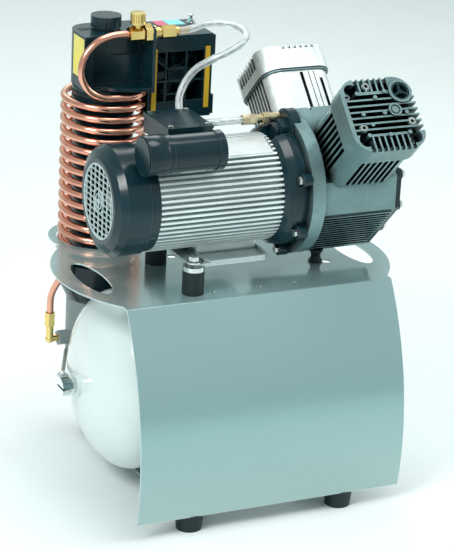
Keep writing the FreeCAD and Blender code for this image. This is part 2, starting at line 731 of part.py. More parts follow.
def make_terminal_box():
    """An open box with screw posts, its lid, and a cable entry in the rear wall."""
    bottom, top = size("terminal_box_bottom"), size("terminal_box_top")
    wall = 2.5
    outer = block((BOX_LEFT, CRANK_Y + BOX_FRONT, bottom), (BOX_RIGHT, CRANK_Y + BOX_REAR, top))
    inner = block((BOX_LEFT + wall, CRANK_Y + BOX_FRONT + wall, bottom + wall),
                  (BOX_RIGHT - wall, CRANK_Y + BOX_REAR - wall, top + 1))
    posts = [cylinder(4.5, top - bottom, (x, CRANK_Y + y, bottom)) for x, y in LID_SCREWS]
    entry_x = (BOX_LEFT + BOX_RIGHT) / 2
    entry_z = (bottom + top) / 2
    boss = cylinder(8, 4, (entry_x, CRANK_Y + BOX_REAR, entry_z), "+Y")
    entry = cylinder(size("gland_bore_radius"), 10, (entry_x, CRANK_Y + BOX_REAR - 4, entry_z), "+Y")
    holes = [cylinder(1.6, 14, (x, CRANK_Y + y, top - 13)) for x, y in LID_SCREWS]
    node("terminal_box", cut(fused([cut(outer, [inner]), boss] + posts), [entry] + holes))
    lid = block((BOX_LEFT - 1, CRANK_Y + BOX_FRONT - 1, top),
                (BOX_RIGHT + 1, CRANK_Y + BOX_REAR + 1, top + LID_GAUGE))
    lid_holes = [cylinder(1.6, LID_GAUGE + 2, (x, CRANK_Y + y, top - 1)) for x, y in LID_SCREWS]
    node("terminal_lid", cut(lid, lid_holes))
    screws = []
    for x, y in LID_SCREWS:
        shank = cylinder(1.5, 12 + LID_GAUGE, (x, CRANK_Y + y, top - 12))
        screws.append(fused([shank, cylinder(3.5, 2, (x, CRANK_Y + y, top + LID_GAUGE))]))
    node("housing_screws", group(screws))


def make_turning_motor_parts():
    radius = size("shaft_radius")
    shaft = fused([cylinder(radius, 240, about_crank(-190), "+X"),
                   cylinder(size("drive_seat_radius"), 52, about_crank(48), "+X")])
    dowel_bore = cylinder(3.05, 9, about_crank(92, 0, -float(size("crank_throw")) / 2), "+X")
    node("motor_shaft", cut(shaft, [dowel_bore]))
    node("rotor_core", ring(35.5, radius, -105, 110))
    blades = [rod(17, (-186, 0, 0), (-160, 0, 0))]
    for step in range(7):
        blade = bar((-184, -1.5, 12), (-162, 1.5, 62))
        blade.rotate(Vector(), Vector(1, 0, 0), 360 / 7 * step)
        blades.append(blade)
    fan = joined(blades).cut(rod(float(radius), (-190, 0, 0), (-150, 0, 0)))
    node("motor_fan", feature(fan, CRANK_FRAME))


# ------------------------------------------------------------------------- pump

CASE_CORNER = 83
CASE_FLAT = 4
RIB_PITCH, RIB_COUNT = 7.2, 14
COVER_BOLTS = ((0, 94), (70, 22), (70, -22), (28, -66), (-28, -66), (-70, -22), (-70, 22))
FRONT_FRAME = Placement(Vector(float(size("front_cylinder_x")), float(CRANK_Y), float(CRANK_Z)),
                        Rotation(Vector(1, 0, 0), 45))
REAR_FRAME = Placement(Vector(float(size("rear_cylinder_x")), float(CRANK_Y), float(CRANK_Z)),
                       Rotation(Vector(0, 0, 1), 180).multiply(Rotation(Vector(1, 0, 0), 45)))
BANKS = (("front", FRONT_FRAME), ("rear", REAR_FRAME))


def case_outline(inset):
    """The crankcase cross-section about the crank axis, moved inwards by an inset."""
    peak = float(size("deck_level")) * math.sqrt(2) - inset * math.sqrt(2)
    side = CASE_CORNER - inset
    flat = CASE_FLAT
    low = -(peak - flat)
    return ((0, peak), (side, peak - side), (side, side - peak), (flat, low), (-flat, low),
            (-side, side - peak), (-side, peak - side))


def make_crankcase():
    left, right = float(size("shield_right")), float(size("crankcase_right"))
    wall, gauge = float(size("crankcase_wall")), float(size("case_cover_gauge"))
    deck = float(size("deck_level"))
    body = polygon_face(case_outline(0)).extrude(Vector(right - left, 0, 0))
    body.translate(Vector(left, 0, 0))
    flange = rod(97, (left - 11, 0, 0), (left + 8, 0, 0)).cut(rod(84.2, (left - 12, 0, 0), (left, 0, 0)))
    flange = flange.cut(rod(MANIFOLD_RADIUS + 0.5, (left - 14, *MANIFOLD_SPOT), (left, *MANIFOLD_SPOT)))
    flange = flange.cut(rear_block_room())
    ribs = []
    for side in (1, -1):
        for step in range(RIB_COUNT):
            along = side * (-57 + RIB_PITCH * step)
            rib = bar((left + 12, along - 1, -deck - 3), (right - 3, along + 1, -deck + 1))
            rib.rotate(Vector(), Vector(1, 0, 0), 45 * side)
            ribs.append(rib)
    hollow = polygon_face(case_outline(wall)).extrude(Vector(right - left, 0, 0))
    hollow.translate(Vector(left + wall, 0, 0))
    tools = [hollow, rod(14, (left - 1, 0, 0), (left + wall + 1, 0, 0))]
    shape = joined([body, flange] + ribs).cut(tools)
    posts = []
    for y, z in COVER_BOLTS:
        posts.append(rod(6, (right - 12, y, z), (right, y, z)))
    inside = polygon_face(case_outline(0)).extrude(Vector(right - left, 0, 0))
    inside.translate(Vector(left, 0, 0))
    shape = joined([shape] + [post.common(inside) for post in posts])
    drills = [rod(3.1, (right - 9, y, z), (right + 1, y, z)) for y, z in COVER_BOLTS]
    for angle in LUG_ANGLES:
        y, z = lug_spot(angle)
        drills.append(rod(3.1, (left - 12, y, z), (left + 9, y, z)))
    drills.append(rod(3, (104, 0, 90), (104, 0, 112)))
    shape = shape.cut(drills)
    for _, frame in BANKS:
        opening = rod(float(size("bore_radius")), (0, 0, deck - 20), (0, 0, deck + 5))
        opening.Placement = frame.multiply(opening.Placement)
        opening.translate(Vector(0, -float(CRANK_Y), -float(CRANK_Z)))
        shape = shape.cut(opening)
    node("crankcase", feature(shape, CRANK_FRAME))
    cover = polygon_face(case_outline(1)).extrude(Vector(gauge - 4, 0, 0))
    cover.translate(Vector(right, 0, 0))
    raised = rod(46, (right, 0, 0), (right + gauge + 3, 0, 0))
    pads = [rod(8, (right, y, z), (right + gauge, y, z)).common(
        polygon_face(case_outline(1)).extrude(Vector(gauge, 0, 0)).translated(Vector(right, 0, 0)))
        for y, z in COVER_BOLTS]
    cover = joined([cover, raised] + pads)
    cover = cover.cut([rod(3.1, (right - 1, y, z), (right + gauge + 1, y, z)) for y, z in COVER_BOLTS])
    node("crankcase_cover", feature(cover, CRANK_FRAME))


CORNER_BOLTS = ((-37, -37), (37, -37), (-37, 37))
CAP_BOLTS = ((-34, -18), (40, -14), (-12, 43))
INTAKE_SPOT = (35, 31)
FIN_PITCH = 8.8


def bank_side_cut(width, depth, along, bottom, top, quarter):
    """A groove up one side of a cylinder block; quarter 0 is the +X side, 1 the +Y side."""
    half = float(size("block_half"))
    groove = bar((half - depth, along - width / 2, bottom), (half + 5, along + width / 2, top))
    groove.rotate(Vector(), Vector(0, 0, 1), 90 * quarter)
    return groove


def make_cylinders():
    """Two blocks from one mould: deep grooves on three sides and two wide slots towards the V."""
    deck, top, half = float(size("deck_level")), float(size("block_top")), float(size("block_half"))
    bore, corner = float(size("bore_radius")), float(size("block_corner"))
    for name, frame in BANKS:
        grooves = []
        for step in range(-3, 4):
            for quarter in (0, 2, 3):
                grooves.append(bank_side_cut(6, 9, FIN_PITCH * step, deck - 1, top + 1, quarter))
        grooves.append(bank_side_cut(5, 9, 2, deck + 2, top - 3, 1))
        grooves.append(bank_side_cut(5, 9, 30, deck + 2, top - 14, 1))
        grooves.append(bank_side_cut(1.5, 2, 13, deck + 2, top - 3, 1))
        grooves.append(bank_side_cut(1.5, 2, 21, deck + 2, top - 3, 1))
        drills = [rod(3.1, (x, y, top - 20), (x, y, top + 1)) for x, y in CORNER_BOLTS]
        bore_hole = rod(bore, (0, 0, deck - 1), (0, 0, top + 1))
        shape = slab(half, corner, deck, top).cut(grooves + drills + [bore_hole])
        node("cylinder_" + name, feature(shape, frame))


def make_valve_plates():
    top, base = float(size("block_top")), float(size("head_base"))
    plates = []
    for _, frame in BANKS:
        plate = slab(float(size("block_half")) + 2, float(size("block_corner")), top, base)
        drills = [rod(3.1, (x, y, top - 1), (x, y, base + 1)) for x, y in CORNER_BOLTS]
        for y in (-15, 15):
            drills += [rod(2.5, (x, y, top - 1), (x, y, base + 1)) for x in (-10, 0, 10)]
        plate = plate.cut(drills)
        plate.Placement = frame
        plates.append(plate)
    node("valve_plates", feature(Part.makeCompound(plates)))


HEAD_DOTS = ((-5, 24.5), (-30, 0.5), (2, 0.5), (35, -1), (-21, -15.5), (-30, 32), (11.5, 32.5),
             (-31, -31), (0.5, -32), (30, -31))
BOSS_SPOT = (19, 4)
HEAD_FIN = 2.4


def head_grooves(base, top, half):
    """The deep grooves that leave the cooling fins of a head standing."""
    floor, wall, side_level = base + 14, 5.5, top - 7
    width = FIN_PITCH - HEAD_FIN
    grooves = []
    for step in range(7):
        y = 31 - FIN_PITCH * (step + 0.5)
        grooves.append(bar((-half + wall, y - width / 2, floor), (half + 1, y + width / 2, top + 1)))
    for step in range(8):
        x = -35 + FIN_PITCH * (step + 0.5)
        grooves.append(bar((x - width / 2, -half + wall, floor), (x + width / 2, -32.5, top + 1)))
        grooves.append(bar((x - width / 2, -half - 1, side_level), (x + width / 2, -half + wall + 1, top + 1)))
    for step in range(6):
        x = -32 + FIN_PITCH * (step + 0.5)
        grooves.append(bar((x - width / 2, 34, floor), (x + width / 2, half - wall, top + 1)))
        grooves.append(bar((x - width / 2, half - wall - 1, side_level), (x + width / 2, half + 1, top + 1)))
    return grooves


def make_heads():
    """A tall skirt round fins, with corner pockets, an intake port and capped screws."""
    base, top, half = float(size("head_base")), float(size("head_top")), float(size("head_half"))
    floor = base + 14
    for name, frame in BANKS:
        body = slab(half, float(size("block_corner")) + 2, base, top - 2).cut(head_grooves(base, top, half))
        body = body.cut([rod(10, (x, y, floor), (x, y, top)) for x, y in CORNER_BOLTS])
        solids = [body, rod(9.5, (*BOSS_SPOT, floor), (*BOSS_SPOT, top)),
                  rod(17, (*INTAKE_SPOT, floor), (*INTAKE_SPOT, top))]
        solids += [rod(2.8, (x, y, floor), (x, y, top)) for x, y in HEAD_DOTS]
        solids += [rod(6.5, (x, y, floor), (x, y, top - 4)) for x, y in CAP_BOLTS]
        tools = [rod(13.5, (*INTAKE_SPOT, floor), (*INTAKE_SPOT, top + 1)),
                 rod(5, (*INTAKE_SPOT, base - 1), (*INTAKE_SPOT, top)),
                 rod(7.2, (*BOSS_SPOT, top - 1.5), (*BOSS_SPOT, top + 1)).cut(
                     rod(5, (*BOSS_SPOT, top - 1.5), (*BOSS_SPOT, top + 1)))]
        for y in (-22, 6):
            tools.append(bar((-28, y, base - 1), (12, y + 16, base + 8)))
        tools += [rod(5.2, (x, y, top - 8), (x, y, top + 1)) for x, y in CAP_BOLTS]
        tools += [rod(3.1, (x, y, base - 1), (x, y, top)) for x, y in CAP_BOLTS + CORNER_BOLTS]
        node("head_" + name, feature(joined(solids).cut(tools), frame))


def make_head_bolts():
    """Socket screws: three short ones high in the head and three long ones low in its pockets."""
    base, top, deck_top = float(size("head_base")), float(size("head_top")), float(size("block_top"))
    bolts = []
    for _, frame in BANKS:
        for spots, foot, seat in ((CAP_BOLTS, base, top - 8), (CORNER_BOLTS, deck_top - 18, base + 14)):
            for x, y in spots:
                bolt = rod(3, (x, y, foot), (x, y, seat)).fuse(rod(5, (x, y, seat), (x, y, seat + 5)))
                socket = hexagon(5, (x, y, seat + 2), (x, y, seat + 6))
                bolt = bolt.cut(socket)
                bolt.Placement = frame
                bolts.append(bolt)
    node("head_bolts", feature(Part.makeCompound(bolts)))


def make_intake_filters():
    top = float(size("head_top"))
    inserts = []
    for _, frame in BANKS:
        rim = rod(13.4, (0, 0, top - 8), (0, 0, top - 1)).cut(rod(11, (0, 0, top - 8), (0, 0, top - 1)))
        hub = rod(3, (0, 0, top - 6), (0, 0, top - 1))
        spokes = []
        for step in range(3):
            spoke = bar((0, -1.2, top - 5), (12, 1.2, top - 1))
            spoke.rotate(Vector(), Vector(0, 0, 1), 90 + 120 * step)
            spokes.append(spoke)
        insert = joined([rim, hub] + spokes)
        insert.translate(Vector(*INTAKE_SPOT, 0))
        insert.Placement = frame.multiply(insert.Placement)
        inserts.append(insert)
    node("intake_filters", feature(Part.makeCompound(inserts)))


ROD_LENGTH = 117
WRIST_RADIUS = 5
RUNNING_FIT = 0.05


def make_crank():
    throw, pin_radius = float(size("crank_throw")), float(size("crank_pin_radius"))
    half_throw = -throw / 2
    web = rod(24, (100, 0, 0), (108, 0, 0))
    weight = rod(48, (100, 0, 0), (108, 0, 0)).common(bar((99, -40, 8), (109, 40, 50)))
    pin = rod(pin_radius, (108, 0, -throw), (158, 0, -throw))
    tools = [rod(3.05, (99, 0, half_throw), (106.2, 0, half_throw)),
             rod(3.05, (149.8, 0, half_throw), (159, 0, half_throw))]
    node("crank_throw", feature(joined([web, weight, pin]).cut(tools), CRANK_FRAME))
    node("crank_dowel", feature(rod(3, (92.2, 0, half_throw), (106, 0, half_throw)), CRANK_FRAME))
    screw = rod(3, (150, 0, half_throw), (158.3, 0, half_throw))
    head = rod(6.5, (158.3, 0, half_throw), (163, 0, half_throw))
    node("crank_end_screw", feature(screw.fuse(head), CRANK_FRAME))


def make_rods_and_pistons():
    """At rest the crank pin points straight down, so each piston sits below mid stroke."""
    throw, bore = float(size("crank_throw")), float(size("bore_radius"))
    shift = -throw / math.sqrt(2)
    crown = float(size("crown_mid_stroke")) + shift
    wrist = ROD_LENGTH + shift
    slot_half = throw + WRIST_RADIUS + 0.3
    for name, frame in BANKS:
        big_end = rod(21, (-8, shift, shift), (8, shift, shift))
        shank = bar((-5, shift - 8, shift), (5, shift + 8, wrist))
        small_end = bar((-6, shift - slot_half - 4, wrist - 9), (6, shift + slot_half + 4, wrist + 9))
        slot = bar((-7, shift - slot_half, wrist - WRIST_RADIUS - RUNNING_FIT),
                   (7, shift + slot_half, wrist + WRIST_RADIUS + RUNNING_FIT))
        eye = rod(float(size("crank_pin_radius")) + RUNNING_FIT, (-9, shift, shift), (9, shift, shift))
        node("rod_" + name, feature(joined([big_end, shank, small_end]).cut([slot, eye]), frame))
        skirt = rod(bore - 0.1, (0, 0, crown - 38), (0, 0, crown))
        hollow = rod(30.5, (0, 0, crown - 39), (0, 0, crown - 6))
        wrist_pin = rod(WRIST_RADIUS, (-32, 0, wrist), (32, 0, wrist))
        node("piston_" + name, feature(joined([skirt.cut(hollow), wrist_pin]), frame))


def make_manifold():
    left, right = HEX_LEFT, float(size("shield_right"))
    face = right - 13
    disc = rod(MANIFOLD_RADIUS, (face, *MANIFOLD_SPOT), (right - 0.2, *MANIFOLD_SPOT))
    rim = rod(MANIFOLD_RADIUS - 3, (face - 2, *MANIFOLD_SPOT), (face, *MANIFOLD_SPOT))
    boss = hexagon(27, (left + 5, *HEX_SPOT), (face, *HEX_SPOT))
    nose = rod(10, (left, *HEX_SPOT), (left + 5, *HEX_SPOT))
    shape = joined([disc, rim, boss, nose]).cut(rear_block_room())
    y, z = OUTLET_SPOT
    shape = shape.cut(rod(7, (left, y, z), (face, y, z)))
    node("manifold_block", feature(shape, CRANK_FRAME))
    pieces = [rod(6.9, (left, y, z), (face, y, z)), hexagon(15, (38, y, z), (left, y, z)),
              rod(6, (26, y, z), (38, y, z)), hexagon(13, (18, y, z), (28, y, z)),
              rod(7, (8, y, z), (18, y, z))]
    node("manifold_fitting", feature(joined(pieces), CRANK_FRAME))


# ----------------------------------------------------------------- dryer column

# From the union to the right, back to the left over the motor, down behind the
# terminal box and round to the manifold fitting.
HOSE_ROUTE = (
    (-36, 84.8, 621), (-19.5, 84.8, 621), (9, 92, 628), (44, 75, 629), (50, 37, 624),
    (23, 10, 614), (-15, 17, 596), (-28, 48, 575), (-47, 49, 544), (-54, 33, 522),
    (-51, 8, 512), (-35, -28, 521), (-14.4, -40.2, 525), (8, -40.2, 525),
)
FRONT_OF_COIL = float(DRYER_Y) - float(size("coil_radius"))


def round_dryer(radius, bottom, top):
    x, y = float(DRYER_X), float(DRYER_Y)
    return rod(radius, (x, y, bottom), (x, y, top))


def clear_of_tank():
    """The space of the tank and a small gap round it."""
    reach, radius = float(size("tank_reach")), float(size("tank_radius"))
    return rod(radius + 3, (-reach, float(TANK_Y), float(TANK_Z)), (reach, float(TANK_Y), float(TANK_Z)))


def make_dryer_tube():
    radius = float(size("dryer_tube_radius"))
    bottom, top = 222, float(size("dryer_head_bottom"))
    tube = round_dryer(radius, bottom, top)
    ribs = [round_dryer(radius + 2.5, top - 22 + 7 * step, top - 18.5 + 7 * step) for step in range(3)]
    shell = joined([tube] + ribs).cut(round_dryer(radius - 3, bottom - 1, top + 1))
    node("dryer_tube", feature(shell))
    node("membrane_cartridge", feature(round_dryer(radius - 6, bottom + 8, top - 12)))


def make_cooling_coil():
    """A climbing coil with its lead from below and the arch to the inlet union."""
    radius, tube, pitch = (float(size(word)) for word in ("coil_radius", "coil_tube_radius", "coil_pitch"))
    turns, bottom = 14.75, float(size("coil_bottom"))
    x, y, front, union = float(DRYER_X), float(DRYER_Y), FRONT_OF_COIL, float(size("union_z"))
    helix = Part.makeHelix(pitch, pitch * turns, radius, 0, True)
    helix.rotate(Vector(), Vector(0, 0, 1), 180)
    helix.translate(Vector(x, y, bottom))
    start = Vector(x - radius, y, bottom)
    slope = Vector(0, 2 * math.pi * radius, pitch)
    ring_wire = Part.Wire(Part.makeCircle(tube, start, slope))
    coil = Part.Wire(helix).makePipeShell([ring_wire], True, True)
    top = bottom + pitch * turns
    arch, arch_radii = rounded_route(((x, front, top), (x - 22, front, top + 0.5), (x - 46, front, top + 12),
                                      (x - 59, front, top + 36), (x - 55, front, top + 62),
                                      (x - 36, front, top + 82), (x - 12, front, union),
                                      (UNION_LEFT, front, union)))
    lead, lead_radii = rounded_route(((-194.5, y, 202), (-194.5, y, 226), (-192, y - 14, 250),
                                      (-185, y - 32, 272), (-178, y - 20, 287), (x - radius, y, bottom)))
    print("copper bends", [round(value, 1) for value in arch_radii + lead_radii])
    node("cooling_coil", feature(Part.makeCompound([coil, tube_along(arch, tube), tube_along(lead, tube)])))


HEAD_LEFT, HEAD_RIGHT = -169, -72.5
HEAD_FRONT, HEAD_REAR = 43, 32
PLATE_GAUGE = 4
UNION_LEFT, PLATE_LEFT = -110, -78


def make_dryer_head():
    """The cast head: a scooped front with a panel and a lip, a bulkhead plate and vent slots."""
    bottom, top = float(size("dryer_head_bottom")), float(size("dryer_head_top"))
    front, rear = float(DRYER_Y) - HEAD_FRONT, float(DRYER_Y) + HEAD_REAR
    box = bar((HEAD_LEFT, front, bottom), (HEAD_RIGHT, rear, top))
    upright = [edge for edge in box.Edges if edge.Length > 70 and edge.CenterOfMass.x < HEAD_LEFT + 1
               and abs(edge.CenterOfMass.z - (top + bottom) / 2) < 1 and edge.CenterOfMass.y > rear - 1]
    box = box.makeFillet(32, upright)
    scoop = bar((HEAD_LEFT + 12, front - 1, bottom + 4), (HEAD_RIGHT - 4, front + 16, top - 4))
    recess = bar((HEAD_LEFT + 44, front + 14, top - 33), (HEAD_RIGHT - 8, front + 20, top - 10))
    recess_rims = [edge for edge in recess.Edges if edge.Length < 7]
    slots = []
    for step in range(4):
        x = HEAD_LEFT + 8 + 5 * step
        slots.append(bar((x, front + 36, top - 3), (x + 2.5, front + 50, top + 1)))
    shape = box.cut([scoop, recess.makeFillet(4, recess_rims)] + slots)
    lip_corners = ((-146, front + 4), (-128, front - 14), (-100, front - 23), (PLATE_LEFT, front - 23),
                   (PLATE_LEFT, front + 4))
    lip = Part.Face(Part.makePolygon([Vector(x, y, bottom) for x, y in lip_corners + lip_corners[:1]]))
    plate = bar((PLATE_LEFT, front - 26, bottom - 2), (PLATE_LEFT + PLATE_GAUGE, front + 4, top + 15))
    nose = [edge for edge in plate.Edges if edge.Length < PLATE_GAUGE + 1 and edge.CenterOfMass.z > top]
    shape = joined([shape, lip.extrude(Vector(0, 0, 4)), plate.makeFillet(11, nose)])
    through = (FRONT_OF_COIL, float(size("union_z")))
    bulkhead_hole = rod(7.1, (PLATE_LEFT - 1, *through), (PLATE_LEFT + PLATE_GAUGE + 1, *through))
    node("dryer_head", feature(shape.cut(bulkhead_hole)))


def make_filter_cap():
    bottom, height = float(size("dryer_head_top")), float(size("filter_cap_height"))
    top = bottom + height
    cap = joined([round_dryer(21.5, bottom + 3, top), round_dryer(18, bottom, bottom + 3)])
    grooves = []
    for step in range(24):
        groove = bar((20.5, -0.8, bottom + 5), (22.5, 0.8, top - 2))
        groove.rotate(Vector(), Vector(0, 0, 1), 15 * step)
        groove.translate(Vector(float(DRYER_X), float(DRYER_Y), 0))
        grooves.append(groove)
    node("filter_cap", feature(cap.cut(grooves)))


FEED_END = (-174, 127, 146)


def feed_boss():
    """The spigot on the lower housing that the tube to the tank's end starts from."""
    return rod(5, FEED_END, (float(DRYER_X) - 20, *FEED_END[1:]))


def make_lower_dryer():
    x, y = float(DRYER_X), float(DRYER_Y)
    collar = joined([round_dryer(58, 243, 279), Part.makeCone(47, 57, 21, Vector(x, y, 222))])
    collar = collar.cut(round_dryer(float(size("dryer_tube_radius")), 221, 280)).cut(clear_of_tank())
    node("lower_collar", feature(collar))
    housing = round_dryer(46, 142, 222).cut(clear_of_tank())
    boss = hexagon(20, (-182, y, 161), (-150, y, 161))
    node("lower_housing", feature(joined([housing, boss, feed_boss()])))
    elbow = [rod(5, (-194.5, y, 161), (-182, y, 161)), Part.makeSphere(6.5, Vector(-194.5, y, 161)),
             rod(5.5, (-194.5, y, 161), (-194.5, y, 182)), hexagon(14, (-194.5, y, 182), (-194.5, y, 202))]
    node("inlet_elbow", feature(joined(elbow)))


def make_fan_box():
    """A duct that hugs the coil, open at the front behind guard bars, with its fan."""
    left, right = float(size("fan_box_left")), float(size("fan_box_right"))
    front, depth = float(size("fan_box_front")), float(size("fan_box_depth"))
    bottom, top, wall = float(size("fan_box_bottom")), float(size("fan_box_top")), 2.5
    west, east, low, high = (float(size("window_" + side)) for side in ("left", "right", "bottom", "top"))
    shell = bar((left, front, bottom), (right, front + depth, top))
    inner = bar((left + wall, front + 4, bottom + wall), (right - wall, front + depth - wall, top - wall))
    window = bar((west, front - 1, low), (east, front + 5, high))
    coil_room = round_dryer(float(size("coil_radius")) + 6, bottom - 1, float(size("dryer_head_bottom")) - 3)
    first, second = west + 14, west + 45
    guards = [bar((x - 1, front + 1, low - 1), (x + 1, front + 3, high + 1)) for x in (first, second)]
    guards.append(bar((west - 1, front + 0.5, 541.5), (east + 1, front + 2.5, 543.5)))
    guards += [bar((first, front + 1, level - 1), (second, front + 3, level + 1)) for level in (523.5, 560.5)]
    lugs = [bar((right - 1, front + 2, low_end), (right + 5, front + 16, high_end))
            for low_end, high_end in ((bottom + 2, bottom + 30), (top - 32, top - 3))]
    box = joined([shell.cut(inner).cut(window)] + guards + lugs).cut(coil_room)
    middle_x, middle_z = (west + east) / 2, (low + high) / 2
    mount_ring = rod(43, (middle_x, front + 36, middle_z), (middle_x, front + 42, middle_z))
    rim = mount_ring.cut(rod(40, (middle_x, front + 35, middle_z), (middle_x, front + 43, middle_z)))
    bars = [bar((left + 1, front + 37, middle_z - 2), (right - 1, front + 41, middle_z + 2)),
            bar((middle_x - 2, front + 37, bottom + 1), (middle_x + 2, front + 41, top - 1))]
    axle_bore = rod(4.05, (middle_x, front + 30, middle_z), (middle_x, front + 45, middle_z))
    carrier = joined([rim] + bars).cut(axle_bore).cut(coil_room)
    node("fan_box", feature(joined([box, carrier])))
    blades = [rod(13, (middle_x, front + 15, middle_z), (middle_x, front + 33, middle_z)),
              rod(4, (middle_x, front + 33, middle_z), (middle_x, front + 44, middle_z))]
    for step in range(7):
        blade = bar((-5, -1, 11), (5, 1, 36))
        blade.rotate(Vector(), Vector(0, 0, 1), 35)
        blade.rotate(Vector(), Vector(0, 1, 0), 360 / 7 * step)
        blade.translate(Vector(middle_x, front + 24, middle_z))
        blades.append(blade)
    node("dryer_fan", feature(joined(blades)))
    strip = 7
    liners = [bar((west - strip - 1, front - 1.5, low - 12), (west - 1, front, high + 5)),
              bar((east + 1, front - 1.5, low - 12), (east + strip + 1, front, high + 5))]
    node("box_liners", feature(Part.makeCompound(liners)))


def make_label_patches():
    """Plain colour patches with no marks on them."""
    front, top = float(size("fan_box_front")), float(size("fan_box_top"))
    y, gauge = float(DRYER_Y), 0.6
    patches = [bar((-31, front + 56, top), (-15, front + 82, top + gauge)),
               bar((-14, front + 56, top), (11, front + 82, top + gauge)),
               bar((HEAD_LEFT - gauge, y - 41, 557), (HEAD_LEFT, y - 3, 613))]
    node("label_patches", feature(Part.makeCompound(patches)))


def make_inlet_union():
    """The bulkhead union with its nuts, and the spring safety valve that stands on it."""
    y, z = FRONT_OF_COIL, float(size("union_z"))
    valve_x, valve_seat = -97, z + 12.3
    pieces = [hexagon(19, (UNION_LEFT, y, z), (-90, y, z)), rod(7, (-90, y, z), (-88, y, z)),
              hexagon(24, (-88, y, z), (PLATE_LEFT, y, z)), rod(7, (PLATE_LEFT, y, z), (-62, y, z)),
              rod(10, (PLATE_LEFT + PLATE_GAUGE, y, z), (-71, y, z)), hexagon(17, (-62, y, z), (-42, y, z)),
              rod(6.3, (-42, y, z), HOSE_ROUTE[0]), rod(5, (valve_x, y, z), (valve_x, y, valve_seat))]
    node("inlet_union", feature(joined(pieces)))
    node("safety_valve_body", feature(rod(7, (valve_x, y, valve_seat), (valve_x, y, valve_seat + 2))))
    radius = float(size("valve_cap_radius"))
    cap = rod(radius, (valve_x, y, valve_seat + 2), (valve_x, y, valve_seat + 18))
    grooves = []
    for step in range(20):
        groove = bar((radius - 0.8, -0.6, valve_seat + 5), (radius + 1, 0.6, valve_seat + 16))
        groove.rotate(Vector(), Vector(0, 0, 1), 18 * step)
        groove.translate(Vector(valve_x, y, 0))
        grooves.append(groove)
    node("safety_valve_cap", feature(cap.cut(grooves)))


def make_tank_end():
    left = -float(size("tank_reach")) - float(size("port_boss_height"))
    y, z = float(TANK_Y), float(TANK_Z)
    spigot = rod(float(size("port_radius")) - 0.1, (left + 9, y, z), (left, y, z))
    body = rod(11, (left, y, z), (left - 9, y, z))
    arm = rod(4.4, (left - 4.5, y, z), (left - 4.5, y + 28, z))
    collar = rod(8, (left - 4.5, y + 26, z), (left - 4.5, y + 36, z))
    node("tank_end_fitting", feature(joined([spigot, body, arm, collar])))
    knob = rod(13.5, (left - 9.3, y, z), (left - 21, y, z))
    slot = bar((left - 22, y - 14, z - 1.6), (left - 18, y + 14, z + 1.6))
    node("drain_knob", feature(knob.cut(slot)))
    tube = rod(3, (left - 4.5, y + 34, z), FEED_END).cut([collar, feed_boss()])
    node("feed_tube", feature(tube))


def make_pressure_hose():
    route, radii = rounded_route(HOSE_ROUTE)
    print("hose bends", [round(value, 1) for value in radii], "length", round(route.Length, 1))
    node("pressure_hose", feature(tube_along(route, float(size("hose_radius")))))


def check_and_export():
    doc.recompute()
    for item in doc.Objects:
        if "Invalid" in item.State or "Error" in item.State:
            raise RuntimeError("%s failed: %s" % (item.Label, item.State))
    os.makedirs("parts", exist_ok=True)
    for item in NODES:
        if item.Shape.isNull() or not item.Shape.isValid():
            raise RuntimeError(item.Label + " has no valid shape")
    for item in NODES:
        item.Shape.exportStep("parts/%s.step" % item.Label)
    print(len(NODES), "sub-parts written")


for make in (make_tank_shell, make_tank_brackets, make_rubber_feet, make_cover_sheet, make_rubber_buffers,
             make_buffer_bolts, make_motor_foot, make_stator_housing, make_rating_plate, make_stator_core,
             make_end_shields, make_case_bolts, make_main_bearings, make_fan_cover, make_fan_grille,
             make_capacitor, make_terminal_box, make_turning_motor_parts, make_crankcase, make_cylinders,
             make_valve_plates, make_heads, make_head_bolts, make_intake_filters, make_crank,
             make_rods_and_pistons, make_manifold, make_dryer_tube, make_cooling_coil, make_dryer_head,
             make_filter_cap, make_lower_dryer, make_fan_box, make_label_patches, make_inlet_union,
             make_tank_end, make_pressure_hose):
    make()
check_and_export()
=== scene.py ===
"""Looks of the floor-standing oil-free air compressor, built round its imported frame."""
import json
import math

import bmesh
import bpy
from mathutils import Matrix, Vector


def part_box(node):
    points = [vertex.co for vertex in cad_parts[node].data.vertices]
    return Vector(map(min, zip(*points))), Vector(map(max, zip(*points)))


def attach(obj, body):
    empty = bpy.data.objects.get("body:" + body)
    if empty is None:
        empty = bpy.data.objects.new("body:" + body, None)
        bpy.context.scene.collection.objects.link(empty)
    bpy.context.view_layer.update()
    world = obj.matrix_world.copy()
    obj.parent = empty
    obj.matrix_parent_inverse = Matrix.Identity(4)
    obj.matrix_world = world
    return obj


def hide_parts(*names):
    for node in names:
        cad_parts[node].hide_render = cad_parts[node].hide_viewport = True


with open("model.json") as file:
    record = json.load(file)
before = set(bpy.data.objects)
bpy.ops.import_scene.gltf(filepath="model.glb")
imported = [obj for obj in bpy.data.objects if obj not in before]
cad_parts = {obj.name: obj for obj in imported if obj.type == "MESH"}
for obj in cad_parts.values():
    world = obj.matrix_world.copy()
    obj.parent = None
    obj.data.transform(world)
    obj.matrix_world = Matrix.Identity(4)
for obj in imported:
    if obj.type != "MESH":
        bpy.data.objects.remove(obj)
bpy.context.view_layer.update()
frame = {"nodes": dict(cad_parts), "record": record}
NODES = frame["nodes"]
MM = 0.001


# ------------------------------------------------------------------ camera

CAMERA_PLACE = (-1.3376, -2.7903, 1.4249)
CAMERA_AZIMUTH = math.radians(-25.889)
CAMERA_ELEVATION = math.radians(20.203)
CAMERA_ROLL = math.radians(-2.873)
LENS = 152.7


